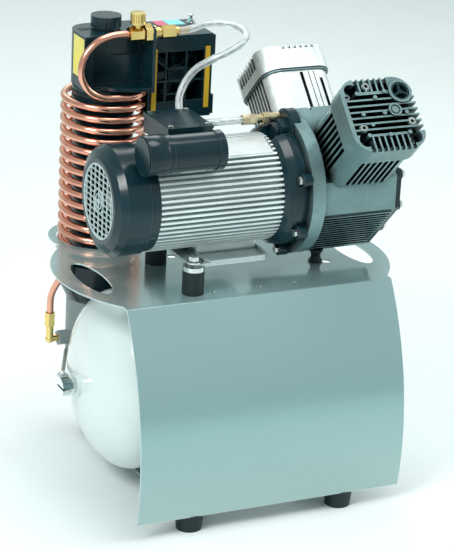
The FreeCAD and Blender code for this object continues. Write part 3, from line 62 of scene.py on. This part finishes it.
def make_camera():
    """Looks along the azimuth and elevation, rolled about the line of sight."""
    data = bpy.data.cameras.new("view_camera")
    data.lens = LENS
    data.sensor_width = 36
    data.clip_end = 50
    camera = bpy.data.objects.new("view_camera", data)
    bpy.context.scene.collection.objects.link(camera)
    back = Vector((math.sin(CAMERA_AZIMUTH) * math.cos(CAMERA_ELEVATION),
                   -math.cos(CAMERA_AZIMUTH) * math.cos(CAMERA_ELEVATION),
                   math.sin(CAMERA_ELEVATION)))
    level = Vector((math.cos(CAMERA_AZIMUTH), math.sin(CAMERA_AZIMUTH), 0))
    upright = back.cross(level)
    right = math.cos(CAMERA_ROLL) * level - math.sin(CAMERA_ROLL) * upright
    up = math.sin(CAMERA_ROLL) * level + math.cos(CAMERA_ROLL) * upright
    turn = Matrix((right, up, back)).transposed().to_4x4()
    camera.matrix_world = Matrix.Translation(CAMERA_PLACE) @ turn
    bpy.context.scene.camera = camera


make_camera()


# -------------------------------------------------------------------- hose

HOSE_RADIUS = 5.25
HOSE_POINTS = (
    (-36, 84.8, 621), (-19.5, 84.8, 621), (9, 92, 628), (44, 75, 629), (50, 37, 624), (23, 10, 614),
    (-15, 17, 596), (-28, 48, 575), (-47, 49, 544), (-54, 33, 522), (-51, 8, 512), (-35, -28, 521),
    (-14.4, -40.2, 525), (8, -40.2, 525),
)


def spline_through(name, points, radius):
    """A round tube along a smooth curve whose control points are the points, in millimetres."""
    curve = bpy.data.curves.new(name, "CURVE")
    curve.dimensions = "3D"
    curve.resolution_u = 16
    curve.bevel_depth = radius * MM
    curve.bevel_resolution = 5
    spline = curve.splines.new("NURBS")
    spline.points.add(len(points) - 1)
    for point, place in zip(spline.points, points):
        point.co = (place[0] * MM, place[1] * MM, place[2] * MM, 1)
    spline.order_u = 3
    spline.use_endpoint_u = True
    piece = bpy.data.objects.new(name, curve)
    bpy.context.scene.collection.objects.link(piece)
    return piece


# --------------------------------------------------------------- materials

class Look:
    """A material made of nodes, with the shader's sockets close at hand."""

    def __init__(self, name):
        self.material = bpy.data.materials.new(name)
        self.material.use_nodes = True
        self.tree = self.material.node_tree
        self.shader = self.tree.nodes["Principled BSDF"]
        self.texture_place = self.add("ShaderNodeTexCoord")
        self.place = self.texture_place.outputs["Object"]
        self.height = None

    def add(self, kind, **values):
        node = self.tree.nodes.new(kind)
        for key, value in values.items():
            setattr(node, key, value)
        return node

    def link(self, source, target):
        self.tree.links.new(source, target)

    def feed(self, value, target):
        if hasattr(value, "is_output"):
            self.link(value, target)
        else:
            target.default_value = value

    def math(self, operation, first, second=0.0):
        node = self.add("ShaderNodeMath", operation=operation)
        self.feed(first, node.inputs[0])
        self.feed(second, node.inputs[1])
        return node.outputs[0]

    def axes(self, source=None):
        split = self.add("ShaderNodeSeparateXYZ")
        self.link(source or self.place, split.inputs["Vector"])
        return [split.outputs[name] for name in ("X", "Y", "Z")]

    def noise(self, scale, detail=4, stretch=(1, 1, 1)):
        mapping = self.add("ShaderNodeMapping")
        mapping.inputs["Scale"].default_value = stretch
        self.link(self.place, mapping.inputs["Vector"])
        noise = self.add("ShaderNodeTexNoise")
        noise.inputs["Scale"].default_value = scale
        noise.inputs["Detail"].default_value = detail
        self.link(mapping.outputs["Vector"], noise.inputs["Vector"])
        return noise.outputs["Fac"]

    def ramp(self, source, stops):
        ramp = self.add("ShaderNodeValToRGB")
        for index, (place, color) in enumerate(stops):
            if index < 2:
                stop = ramp.color_ramp.elements[index]
                stop.position = place
            else:
                stop = ramp.color_ramp.elements.new(place)
            stop.color = (*color, 1)
        self.link(source, ramp.inputs["Fac"])
        return ramp.outputs["Color"]

    def spread(self, source, low, high, start=0.3, end=0.7):
        scaled = self.add("ShaderNodeMapRange")
        scaled.inputs["To Min"].default_value = low
        scaled.inputs["To Max"].default_value = high
        scaled.inputs["From Min"].default_value = start
        scaled.inputs["From Max"].default_value = end
        self.link(source, scaled.inputs["Value"])
        return scaled.outputs["Result"]

    def mix(self, factor, first, second):
        mix = self.add("ShaderNodeMix", data_type="RGBA")
        self.link(factor, mix.inputs["Factor"])
        for name, value in (("A", first), ("B", second)):
            socket = [item for item in mix.inputs if item.name == name and item.type == "RGBA"][0]
            if isinstance(value, tuple):
                socket.default_value = (*value, 1)
            else:
                self.link(value, socket)
        return [item for item in mix.outputs if item.type == "RGBA"][0]

    def edges(self, radius):
        """A mask that is 1 along the edges of the shape."""
        bevel = self.add("ShaderNodeBevel", samples=6)
        bevel.inputs["Radius"].default_value = radius * MM
        geometry = self.add("ShaderNodeNewGeometry")
        match = self.add("ShaderNodeVectorMath", operation="DOT_PRODUCT")
        self.link(bevel.outputs["Normal"], match.inputs[0])
        self.link(geometry.outputs["Normal"], match.inputs[1])
        return self.spread(match.outputs["Value"], 0, 1, 0.98, 0.8)

    def shade_in_hollows(self, distance, open_sky=0.85):
        """A mask of painted shade that is 1 down in grooves and corners, where the surroundings keep light out.
        """
        shelter = self.add("ShaderNodeAmbientOcclusion", samples=8)
        shelter.inputs["Distance"].default_value = distance * MM
        return self.spread(shelter.outputs["AO"], 1, 0, open_sky - 0.5, open_sky)

    def bump(self, source, depth):
        bump = self.add("ShaderNodeBump")
        bump.inputs["Distance"].default_value = depth * MM
        bump.inputs["Strength"].default_value = 1.0
        self.link(source, bump.inputs["Height"])
        if self.height is not None:
            self.link(self.height, bump.inputs["Normal"])
        self.height = bump.outputs["Normal"]
        self.link(self.height, self.shader.inputs["Normal"])

    def color(self, source):
        self.link(source, self.shader.inputs["Base Color"])

    def roughness(self, source):
        self.link(source, self.shader.inputs["Roughness"])


def shade(color, factor):
    """The colour made lighter or darker, no channel above 1."""
    return tuple(min(1, value * factor) for value in color)


def around(color, spread):
    """The two ends of a tone that drifts about a colour."""
    return (0.3, shade(color, 1 - spread)), (0.7, shade(color, 1 + spread))


def coated(name, color, rough, grain, depth, coat=0.0, worn=None, spread=0.12, recess_shade=None):
    """Paint or plastic: tone drifting over the surface, fine grain, worn edges, and painted shade darkening the
    corners.
    """
    look = Look(name)
    tone = look.ramp(look.noise(9, 5), around(color, spread))
    # Painted shade: corners and recesses are darkened towards the near-black colour.
    if recess_shade is not None:
        tone = look.mix(look.shade_in_hollows(6), tone, recess_shade)
    if worn is not None:
        tone = look.mix(look.edges(0.8), tone, worn)
    look.color(tone)
    look.roughness(look.spread(look.noise(grain / 6, 6), rough - 0.05, rough + 0.05))
    look.bump(look.noise(grain, 3), depth)
    look.shader.inputs["Coat Weight"].default_value = coat
    look.shader.inputs["Coat Roughness"].default_value = 0.06
    look.shader.inputs["Specular IOR Level"].default_value = 0.3
    return look.material


def raw_metal(name, color, rough, grain, depth, streak=(1, 1, 1), spread=0.12, edge=1.35, hollow_shade=None, deep=6,
              metal=1.0):
    """Bare metal: blotches, a grain that may run one way, polished edges, and painted shade darkening the
    hollows.
    """
    look = Look(name)
    tone = look.ramp(look.noise(16, 6), around(color, spread))
    # Painted shade: hollows and gaps are darkened towards the given colour.
    if hollow_shade is not None:
        tone = look.mix(look.shade_in_hollows(deep), tone, hollow_shade)
    look.color(look.mix(look.edges(0.6), tone, shade(color, edge)))
    look.roughness(look.spread(look.noise(grain / 4, 6, streak), rough - 0.08, rough + 0.08))
    look.bump(look.noise(grain, 4, streak), depth)
    look.shader.inputs["Metallic"].default_value = metal
    return look.material


def cast_metal(name, color, hollow_shade, deep, rough=0.42):
    """Sand-cast light alloy: grainy skin, pale rubbed edges, and painted shade darkening the fins and hollows.
    """
    look = Look(name)
    tone = look.ramp(look.noise(22, 7), around(color, 0.14))
    speck = look.spread(look.noise(520, 2), 0, 0.35, 0.52, 0.72)
    tone = look.mix(speck, tone, shade(color, 0.55))
    # Painted shade: fins and hollows are darkened towards the given colour.
    tone = look.mix(look.shade_in_hollows(deep, 0.95), tone, hollow_shade)
    look.color(look.mix(look.edges(0.9), tone, shade(color, 1.9)))
    look.roughness(look.spread(look.noise(160, 6), rough - 0.1, rough + 0.12))
    look.bump(look.noise(60, 5), 0.35)
    look.bump(look.noise(480, 3), 0.12)
    look.shader.inputs["Metallic"].default_value = 0.75
    return look.material


BARB_ENDS_X, BARB_ENDS_Y = (-0.022, -0.016), (0.06, 0.07)
THREAD_TURNS, THREAD_LAYS = 5, 30


def clear_braid():
    """Soft clear hose: a pale wall with fine threads laid along it and crossing in both directions."""
    look = Look("clear_braided_hose")
    along, round_wall, _ = look.axes(look.texture_place.outputs["UV"])
    threads = None
    for turns in (THREAD_TURNS, -THREAD_TURNS):
        lay = look.math("ADD", look.math("MULTIPLY", along, THREAD_LAYS),
                        look.math("MULTIPLY", round_wall, turns))
        ridge = look.math("PINGPONG", lay, 0.5)
        threads = ridge if threads is None else look.math("MAXIMUM", threads, ridge)
    straight = look.math("PINGPONG", look.math("MULTIPLY", round_wall, THREAD_TURNS), 0.5)
    ground = look.ramp(straight, ((0.08, (0.36, 0.47, 0.49)), (0.30, (0.88, 0.94, 0.94))))
    tone = look.mix(look.spread(threads, 0, 0.8, 0.40, 0.48), ground, (0.97, 0.99, 0.99))
    x_place, y_place, _ = look.axes()
    on_barb = look.math("MULTIPLY", look.spread(x_place, 1, 0, *BARB_ENDS_X),
                        look.spread(y_place, 0, 1, *BARB_ENDS_Y))
    look.color(look.mix(look.math("MULTIPLY", on_barb, 0.55), tone, (0.70, 0.50, 0.22)))
    look.roughness(look.spread(look.noise(40, 3), 0.10, 0.20))
    look.bump(threads, 0.10)
    look.bump(straight, 0.15)
    look.shader.inputs["Transmission Weight"].default_value = 0.55
    look.shader.inputs["IOR"].default_value = 1.45
    look.shader.inputs["Coat Weight"].default_value = 0.5
    look.shader.inputs["Coat Roughness"].default_value = 0.05
    return look.material


TOP_LABEL_SPLIT, SIDE_LABEL_EDGE = (-0.0151, -0.0149), (-0.101, -0.099)


def striped_patches():
    """The three blank labels, told apart by where they lie: ochre on the side, pink and cyan on top."""
    look = Look("blank_labels")
    x_place = look.axes()[0]
    tone = look.mix(look.spread(x_place, 0, 1, *TOP_LABEL_SPLIT), (0.58, 0.02, 0.12), (0.16, 0.66, 0.70))
    tone = look.mix(look.spread(x_place, 1, 0, *SIDE_LABEL_EDGE), tone, (0.80, 0.70, 0.08))
    grime = look.spread(look.noise(45, 5), 0, 0.22)
    look.color(look.mix(grime, tone, (0.55, 0.58, 0.50)))
    look.roughness(look.spread(look.noise(120, 3), 0.28, 0.42))
    look.bump(look.noise(600, 2), 0.02)
    return look.material


SHEET_SHADE_HEIGHTS = (0.02, 0.32)


def sheet_lacquer():
    """Silver lacquer over sheet steel: fine metal flake under a clear coat, painted shading lighter near the
    bottom, and a painted highlight along the edges and bend.
    """
    look = Look("silver_lacquer")
    height = look.axes()[2]
    # Painted shading by height: lighter near the bottom and darker at mid height.
    tone = look.ramp(look.spread(height, 0, 1, *SHEET_SHADE_HEIGHTS), (
        (0.0, (0.36, 0.50, 0.49)), (1.0, (0.30, 0.46, 0.47)), (0.45, (0.25, 0.43, 0.44))))
    flake = look.spread(look.noise(1500, 2), 0, 0.25, 0.45, 0.7)
    tone = look.mix(flake, tone, (0.60, 0.72, 0.72))
    # Painted highlight: a near-white line along the edges and the bend.
    look.color(look.mix(look.edges(1.3), tone, (0.88, 0.95, 0.95)))
    look.roughness(look.spread(look.noise(30, 5), 0.14, 0.20))
    look.bump(look.noise(1500, 2), 0.008)
    look.bump(look.noise(7, 2), 0.10)
    look.shader.inputs["Metallic"].default_value = 0.45
    look.shader.inputs["Coat Weight"].default_value = 0.55
    look.shader.inputs["Coat Roughness"].default_value = 0.04
    return look.material


BLACK = (0.003, 0.022, 0.031)
# Near-black painted shade for the corners and recesses of black paint and plastic.
RECESS_SHADE_COLOR = (0.004, 0.008, 0.010)
# The colours given for hollows in these looks are painted shade, laid into grooves, gaps and corners.
LOOKS = {
    "tank_white": coated("tank_white_gloss", (0.70, 0.79, 0.78), 0.20, 260, 0.05, coat=0.5, spread=0.03),
    "cover_silver": sheet_lacquer(),
    "bracket_grey": coated("bracket_grey_paint", (0.22, 0.28, 0.28), 0.40, 400, 0.05, worn=(0.4, 0.46, 0.46)),
    "soft_rubber": coated("moulded_rubber", (0.012, 0.024, 0.026), 0.50, 700, 0.08, spread=0.3,
                          worn=(0.06, 0.09, 0.09)),
    "zinc_steel": raw_metal("zinc_steel", (0.66, 0.72, 0.70), 0.26, 500, 0.03,
                            hollow_shade=(0.03, 0.05, 0.05), deep=14),
    "cast_alloy": cast_metal("cast_alloy", (0.20, 0.31, 0.32), (0.006, 0.014, 0.015), 16),
    "extruded_alloy": raw_metal("extruded_alloy", (0.78, 0.88, 0.88), 0.36, 600, 0.05, streak=(0.06, 1, 1),
                                hollow_shade=(0.36, 0.46, 0.46), deep=7, metal=0.3),
    "plain_plate": raw_metal("plain_plate", (0.80, 0.86, 0.86), 0.38, 700, 0.02, streak=(0.05, 1, 1)),
    "black_paint": coated("black_satin_paint", BLACK, 0.24, 420, 0.05, coat=0.25, worn=(0.10, 0.17, 0.18),
                          spread=0.3, recess_shade=RECESS_SHADE_COLOR),
    "black_plastic": coated("black_moulded_plastic", BLACK, 0.22, 900, 0.03, coat=0.15, worn=(0.09, 0.15, 0.16),
                            spread=0.3, recess_shade=RECESS_SHADE_COLOR),
    "pale_grille": coated("pale_guard", (0.42, 0.54, 0.54), 0.30, 500, 0.03, spread=0.06,
                          worn=(0.7, 0.78, 0.78)),
    "grey_plastic": coated("grey_plastic", (0.22, 0.27, 0.27), 0.36, 600, 0.05, worn=(0.40, 0.46, 0.46)),
    "copper_tube": raw_metal("copper_tube", (0.93, 0.43, 0.31), 0.20, 160, 0.05, spread=0.22, edge=1.0,
                             hollow_shade=(0.30, 0.07, 0.03), deep=7),
    "brass": raw_metal("turned_brass", (0.92, 0.68, 0.26), 0.20, 500, 0.03, streak=(0.2, 1, 1), edge=1.1,
                       hollow_shade=(0.30, 0.16, 0.04), deep=4),
    "clear_hose": clear_braid(),
    "bright_steel": raw_metal("plated_steel", (0.86, 0.90, 0.90), 0.14, 400, 0.02, hollow_shade=(0.08, 0.11, 0.11)),
    "feed_plastic": coated("feed_tube_plastic", (0.20, 0.23, 0.20), 0.24, 500, 0.02, coat=0.3),
    "yellow_panel": coated("yellow_panel", (0.62, 0.40, 0.03), 0.45, 500, 0.03, spread=0.10),
    "machined_steel": raw_metal("machined_steel", (0.55, 0.58, 0.58), 0.28, 600, 0.03, streak=(0.2, 1, 1)),
    "forged_iron": raw_metal("cast_iron", (0.28, 0.30, 0.30), 0.5, 300, 0.2),
    "rod_alloy": raw_metal("machined_alloy", (0.62, 0.65, 0.66), 0.35, 400, 0.08),
    "membrane_body": coated("membrane_body", (0.66, 0.66, 0.60), 0.5, 400, 0.05),
}
# Painted light: a much lighter copy of the cast alloy for the rear cylinder and head, standing in for the
# strong light on them.
CAST_ALLOY_LIT_COPY = cast_metal("cast_alloy_painted_lit", (0.80, 0.88, 0.87), (0.04, 0.07, 0.07), 9)
# The hollow colours of the foot casting and the pale brass fitting are painted shade as well.
OWN_LOOKS = {
    "label_patches": striped_patches(),
    "cylinder_rear": CAST_ALLOY_LIT_COPY,
    "head_rear": CAST_ALLOY_LIT_COPY,
    "motor_foot": cast_metal("foot_casting", (0.50, 0.60, 0.60), (0.10, 0.14, 0.14), 6),
    "manifold_fitting": raw_metal("pale_brass", (0.84, 0.70, 0.46), 0.22, 500, 0.03,
                                  hollow_shade=(0.30, 0.20, 0.10), deep=4),
}


def dress_nodes():
    """Gives each CAD node the look of its material slot, or its own where it has one."""
    for entry in frame["record"]["subparts"]:
        piece = NODES[entry["node"]]
        piece.data.materials.clear()
        piece.data.materials.append(OWN_LOOKS.get(entry["node"], LOOKS[entry["material_slot"]]))


dress_nodes()


def make_hose():
    """The one flexible line, which stands for the CAD hose."""
    hose = spline_through("braided_hose", HOSE_POINTS, HOSE_RADIUS)
    hose.data.materials.append(LOOKS["clear_hose"])
    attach(hose, "root")
    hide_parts("pressure_hose")


make_hose()


# ------------------------------------------------------------ added pieces

def lathe(shape, profile, middle, sides=48):
    """Turns a closed profile of (radius, x) points round an axis along X through the middle (y, z)."""
    rings = []
    for radius, x in profile:
        rings.append([shape.verts.new((x * MM, (middle[0] + radius * math.cos(2 * math.pi * step / sides)) * MM,
                                       (middle[1] + radius * math.sin(2 * math.pi * step / sides)) * MM))
                      for step in range(sides)])
    for near, far in zip(rings, rings[1:] + rings[:1]):
        for step in range(sides):
            after = (step + 1) % sides
            shape.faces.new((near[step], near[after], far[after], far[step]))


def beam(shape, start, end, outline):
    """A straight bar from start to end whose cross-section is an outline of (offset, x) points."""
    along = (Vector(end) - Vector(start)).normalized()
    aside = Vector((-along.y, along.x))
    ends = []
    for place in (Vector(start), Vector(end)):
        ends.append([shape.verts.new((x * MM, (place.x + aside.x * offset) * MM,
                                      (place.y + aside.y * offset) * MM))
                     for offset, x in outline])
    count = len(outline)
    for step in range(count):
        after = (step + 1) % count
        shape.faces.new((ends[0][step], ends[0][after], ends[1][after], ends[1][step]))
    shape.faces.new(ends[0])
    shape.faces.new(ends[1])


def finish_piece(name, shape, slot, smooth_angle=40):
    """Makes the shape a piece of the root body, with the look of its slot."""
    bmesh.ops.recalc_face_normals(shape, faces=shape.faces)
    mesh = bpy.data.meshes.new(name)
    shape.to_mesh(mesh)
    shape.free()
    for face in mesh.polygons:
        face.use_smooth = True
    mesh.set_sharp_from_angle(angle=math.radians(smooth_angle))
    mesh.materials.append(LOOKS[slot])
    piece = bpy.data.objects.new(name, mesh)
    bpy.context.scene.collection.objects.link(piece)
    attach(piece, "root")
    return piece


def bar_outline(width, back, front, chamfer):
    half = width / 2
    return ((-half, back), (half, back), (half, front + chamfer), (half - chamfer, front),
            (chamfer - half, front), (-half, front + chamfer))


def ring_profile(inner, outer, back, front, chamfer):
    return ((inner, back), (outer, back), (outer, front + chamfer), (outer - chamfer, front),
            (inner + chamfer, front), (inner, front + chamfer))


MESH_PITCHES = (14.4, 8.0)
MESH_BAR = 1.35
MESH_CHAMFER = 0.5
MESH_RINGS = ((15.4, 17.0), (9.4, 11.0), (0.8, 3.6))
MESH_RIM = 2.4


def make_mesh_guard():
    """Square mesh over the fan's opening, with an outer rim and rings at its middle."""
    low, high = (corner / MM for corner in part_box("fan_grille"))
    middle = ((low.y + high.y) / 2, (low.z + high.z) / 2)
    reach, front, back = (high.y - low.y) / 2, low.x, high.x
    shape = bmesh.new()
    lathe(shape, ring_profile(reach - MESH_RIM, reach, back, front, MESH_CHAMFER), middle, 96)
    for inner, outer in MESH_RINGS:
        lathe(shape, ring_profile(inner, outer, back, front, MESH_CHAMFER), middle)
    eye, rim = MESH_RINGS[0][0] + 1, reach - 1
    for turned, pitch in zip((False, True), MESH_PITCHES):
        count = int(rim / pitch)
        outline = bar_outline(MESH_BAR, back, front + (0.15 if turned else 0.05), MESH_CHAMFER)
        for index in range(-count, count + 1):
            offset = index * pitch
            outside = math.sqrt(rim ** 2 - offset ** 2)
            spans = [(-outside, outside)]
            if abs(offset) < eye:
                inside = math.sqrt(eye ** 2 - offset ** 2)
                spans = [(-outside, -inside), (inside, outside)]
            for first, last in spans:
                ends = ((first, offset), (last, offset)) if turned else ((offset, first), (offset, last))
                beam(shape, *[(middle[0] + y, middle[1] + z) for y, z in ends], outline)
    for turned in (False, True):
        for first, last in ((-eye, -MESH_RINGS[2][1] + 1), (MESH_RINGS[2][1] - 1, eye)):
            ends = ((first, 0), (last, 0)) if turned else ((0, first), (0, last))
            beam(shape, *[(middle[0] + y, middle[1] + z) for y, z in ends],
                 bar_outline(MESH_BAR, back, front + 0.1, MESH_CHAMFER))
    guard = finish_piece("fan_mesh_guard", shape, "pale_grille")
    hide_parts("fan_grille")


SLEEVE_START, SLEEVE_END, SLEEVE_PROUD = 1.5, 30, 0.7


def make_sleeve():
    """The rolled band round the capacitor's wiring end."""
    low, high = (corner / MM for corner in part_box("capacitor"))
    middle = ((low.y + high.y) / 2, (low.z + high.z) / 2)
    radius = (high.y - low.y) / 2
    shape = bmesh.new()
    left, right, outer = low.x + SLEEVE_START, low.x + SLEEVE_END, radius + SLEEVE_PROUD
    lathe(shape, ((radius - 0.5, left), (outer - 0.3, left), (outer, left + 0.5),
                  (outer, right - 0.8), (outer - 0.5, right), (radius - 0.5, right)), middle, 72)
    finish_piece("capacitor_sleeve", shape, "black_plastic")


def stand(shape, profile, x, y, sides=32):
    """Turns a profile of (radius, z) points round an upright axis, closed at both ends."""
    rings = []
    for radius, z in profile:
        rings.append([shape.verts.new(((x + radius * math.cos(2 * math.pi * step / sides)) * MM,
                                       (y + radius * math.sin(2 * math.pi * step / sides)) * MM, z * MM))
                      for step in range(sides)])
    for near, far in zip(rings, rings[1:]):
        for step in range(sides):
            after = (step + 1) % sides
            shape.faces.new((near[step], near[after], far[after], far[step]))
    shape.faces.new(rings[0])
    shape.faces.new(rings[-1])


STUD_PLACE = (23, 173)


def make_box_stud():
    """A stud with a nut and washer on top of the fan box."""
    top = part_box("fan_box")[1].z / MM
    shape = bmesh.new()
    stand(shape, ((6.0, top), (6.0, top + 0.9), (5.6, top + 1.2)), *STUD_PLACE)
    stand(shape, ((4.6, top + 1.2), (4.9, top + 1.5), (4.9, top + 4.7), (4.4, top + 5.2)),
          *STUD_PLACE, 6)
    stand(shape, ((2.5, top + 5.2), (2.5, top + 8.4), (4.2, top + 8.8), (4.4, top + 9.4), (4.2, top + 11.4),
                  (3.2, top + 12.2)), *STUD_PLACE)
    finish_piece("fan_box_stud", shape, "bright_steel")


make_mesh_guard()
make_sleeve()
make_box_stud()


# ------------------------------------------------------------------- stage

STAGE_REACH, STAGE_BEND, STAGE_HEIGHT = 6.0, 1.5, 5.0
AIR_COLOR, AIR_STRENGTH = (0.86, 0.93, 0.92, 1), 0.62
LIGHTS_AIM = (0, 0, 0.35)


def make_stage():
    """A pale floor that curves up into a backdrop."""
    mesh = bpy.data.meshes.new("studio_floor")
    profile = [(-STAGE_REACH, 0)]
    for step in range(13):
        angle = math.pi / 2 * step / 12
        profile.append((STAGE_REACH / 2 + STAGE_BEND * math.sin(angle), STAGE_BEND * (1 - math.cos(angle))))
    profile.append((STAGE_REACH / 2 + STAGE_BEND, STAGE_HEIGHT))
    shape = bmesh.new()
    rows = []
    for y, z in profile:
        rows.append([shape.verts.new((x, y, z)) for x in (-STAGE_REACH, STAGE_REACH)])
    for low, high in zip(rows, rows[1:]):
        shape.faces.new((low[0], low[1], high[1], high[0]))
    for face in shape.faces:
        face.smooth = True
    shape.to_mesh(mesh)
    shape.free()
    floor = bpy.data.objects.new("studio_floor", mesh)
    bpy.context.scene.collection.objects.link(floor)
    mesh.materials.append(coated("studio_paper", (0.80, 0.87, 0.86), 0.7, 60, 0.01, spread=0.01))


def make_light(name, place, power, width):
    data = bpy.data.lights.new(name, "AREA")
    data.energy = power
    data.size = width
    light = bpy.data.objects.new(name, data)
    light.location = place
    light.rotation_euler = (Vector(LIGHTS_AIM) - Vector(place)).to_track_quat("-Z", "Y").to_euler()
    bpy.context.scene.collection.objects.link(light)


def make_lights():
    world = bpy.data.worlds.new("studio_air")
    world.use_nodes = True
    world.node_tree.nodes["Background"].inputs["Color"].default_value = AIR_COLOR
    world.node_tree.nodes["Background"].inputs["Strength"].default_value = AIR_STRENGTH
    bpy.context.scene.world = world
    make_light("key_light", (-2.0, -1.2, 2.2), 46, 1.0)
    make_light("top_light", (0.2, -0.3, 2.9), 26, 1.2)
    make_light("side_light", (2.3, -0.6, 1.5), 20, 1.0)
    make_light("back_light", (0.6, 2.2, 2.4), 20, 1.6)
    bpy.context.scene.view_settings.view_transform = "Standard"


make_stage()
make_lights()
